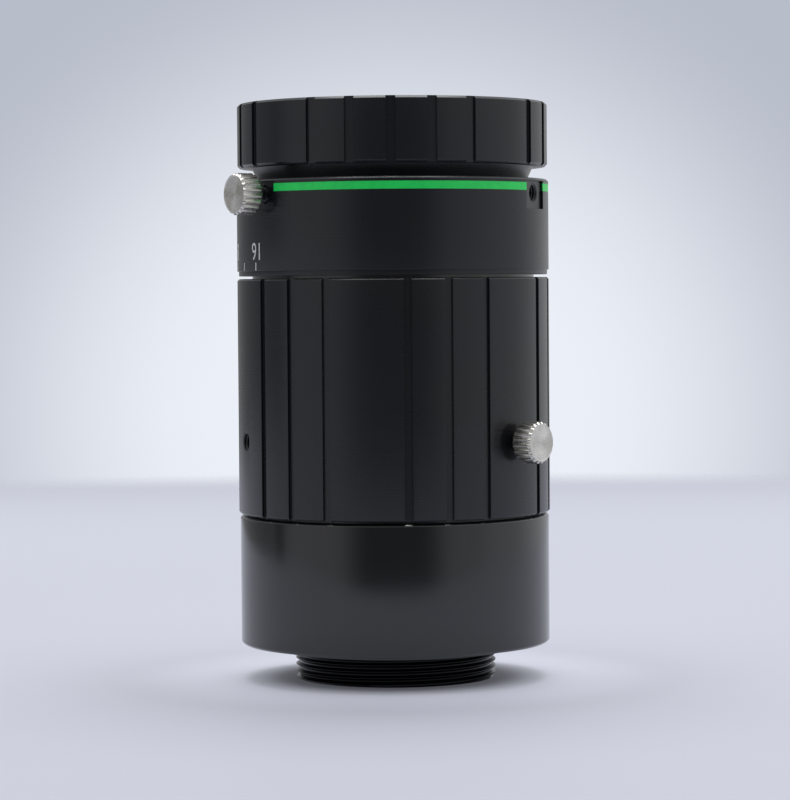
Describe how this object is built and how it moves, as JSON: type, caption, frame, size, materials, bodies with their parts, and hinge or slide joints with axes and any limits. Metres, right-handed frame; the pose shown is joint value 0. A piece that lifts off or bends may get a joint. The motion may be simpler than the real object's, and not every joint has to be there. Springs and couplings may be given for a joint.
{
  "type": "c-mount machine vision lens",
  "caption": "Fixed focal length camera lens: fixed barrel, grooved iris and focus rings with knurled lock screws, blade iris and glass inside.",
  "frame": {"origin": "centre of the flange seat, where the mount thread meets it", "axes": "+Z along the optical axis to the front, -Y towards the viewer of the picture"},
  "size_m": [0.0406, 0.0394, 0.0727],
  "materials": {
    "black_gloss": "black anodised, semi-gloss",
    "black_satin": "black anodised, satin",
    "black_matt": "black anodised, matt",
    "green_paint": "paint in a groove",
    "nickel": "turned and knurled",
    "steel": "ground",
    "blade_steel": "blackened spring steel",
    "brass": "turned",
    "glass": "polished and coated"
  },
  "bodies": {
    "fixed_barrel": {"mount_ring": "black_gloss", "rear_barrel": "black_gloss", "nameplate_ring": "black_satin", "green_line": "green_paint", "guide_screw": "steel"},
    "lens_unit": {"lens_barrel": "black_matt", "focus_stop_pin": "steel", "front_retaining_ring": "black_matt", "front_lens": "glass", "front_spacer": "black_matt", "front_doublet_crown": "glass", "front_doublet_flint": "glass", "iris_base_plate": "black_matt", "iris_retainer": "black_matt", "rear_cell": "black_matt", "rear_doublet_flint": "glass", "rear_doublet_crown": "glass", "rear_spacer": "black_matt", "rear_lens": "glass", "rear_retaining_ring": "black_matt"},
    "focus_assembly": {"focus_ring": "black_satin", "carrier_ring": "black_matt"},
    "iris_control": {"iris_ring": "black_satin", "iris_drive_pin": "steel"},
    "iris_cam": {"iris_cam_ring": "brass"},
    "blade_1": {"iris_blade_1": "blade_steel"},
    "blade_2": {"iris_blade_2": "blade_steel"},
    "blade_3": {"iris_blade_3": "blade_steel"},
    "blade_4": {"iris_blade_4": "blade_steel"},
    "blade_5": {"iris_blade_5": "blade_steel"},
    "blade_6": {"iris_blade_6": "blade_steel"},
    "iris_lock": {"iris_lock_screw": "nickel"},
    "focus_lock": {"focus_lock_screw": "nickel"}
  },
  "joints": [
    {"name": "focus_turn", "type": "hinge", "parent": "lens_unit", "child": "focus_assembly", "pos_m": [0, 0, 0.065], "axis": [0, 0, 1], "range_deg": [0, 270]},
    {"name": "focus_travel", "type": "slide", "parent": "fixed_barrel", "child": "lens_unit", "axis": [0, 0, 1], "range_m": [0, 0.006]},
    {"name": "iris_turn", "type": "hinge", "parent": "fixed_barrel", "child": "iris_control", "pos_m": [0, 0, 0.032], "axis": [0, 0, 1], "range_deg": [0, 58.3]},
    {"name": "cam_turn", "type": "hinge", "parent": "lens_unit", "child": "iris_cam", "pos_m": [0, 0, 0.0324], "axis": [0, 0, 1], "range_deg": [0, 58.3]},
    {"name": "blade_1_turn", "type": "hinge", "parent": "lens_unit", "child": "blade_1", "pos_m": [0.01123, -0.00198, 0.0334], "axis": [0, 0, 1], "range_deg": [0, 30.79]},
    {"name": "blade_2_turn", "type": "hinge", "parent": "lens_unit", "child": "blade_2", "pos_m": [0.00733, 0.00873, 0.0334], "axis": [0, 0, 1], "range_deg": [0, 30.79]},
    {"name": "blade_3_turn", "type": "hinge", "parent": "lens_unit", "child": "blade_3", "pos_m": [-0.0039, 0.01071, 0.0334], "axis": [0, 0, 1], "range_deg": [0, 30.79]},
    {"name": "blade_4_turn", "type": "hinge", "parent": "lens_unit", "child": "blade_4", "pos_m": [-0.01123, 0.00198, 0.0334], "axis": [0, 0, 1], "range_deg": [0, 30.79]},
    {"name": "blade_5_turn", "type": "hinge", "parent": "lens_unit", "child": "blade_5", "pos_m": [-0.00733, -0.00873, 0.0334], "axis": [0, 0, 1], "range_deg": [0, 30.79]},
    {"name": "blade_6_turn", "type": "hinge", "parent": "lens_unit", "child": "blade_6", "pos_m": [0.0039, -0.01071, 0.0334], "axis": [0, 0, 1], "range_deg": [0, 30.79]},
    {"name": "iris_lock_turn", "type": "hinge", "parent": "iris_control", "child": "iris_lock", "pos_m": [0.01517, -0.01264, 0.02665], "axis": [0.7683, -0.6401, 0], "range_deg": [0, 360]},
    {"name": "focus_lock_turn", "type": "hinge", "parent": "fixed_barrel", "child": "focus_lock", "pos_m": [-0.01622, -0.01127, 0.0574], "axis": [-0.8211, -0.5707, 0], "range_deg": [0, 360]}
  ],
  "couplings": [
    {"joint": "focus_turn", "follows": "focus_travel", "rad_per_m": 785.4},
    {"joint": "cam_turn", "follows": "iris_turn", "ratio": 1},
    {"joint": "blade_1_turn", "follows": "iris_turn", "ratio": 0.528},
    {"joint": "blade_2_turn", "follows": "iris_turn", "ratio": 0.528},
    {"joint": "blade_3_turn", "follows": "iris_turn", "ratio": 0.528},
    {"joint": "blade_4_turn", "follows": "iris_turn", "ratio": 0.528},
    {"joint": "blade_5_turn", "follows": "iris_turn", "ratio": 0.528},
    {"joint": "blade_6_turn", "follows": "iris_turn", "ratio": 0.528}
  ]
}
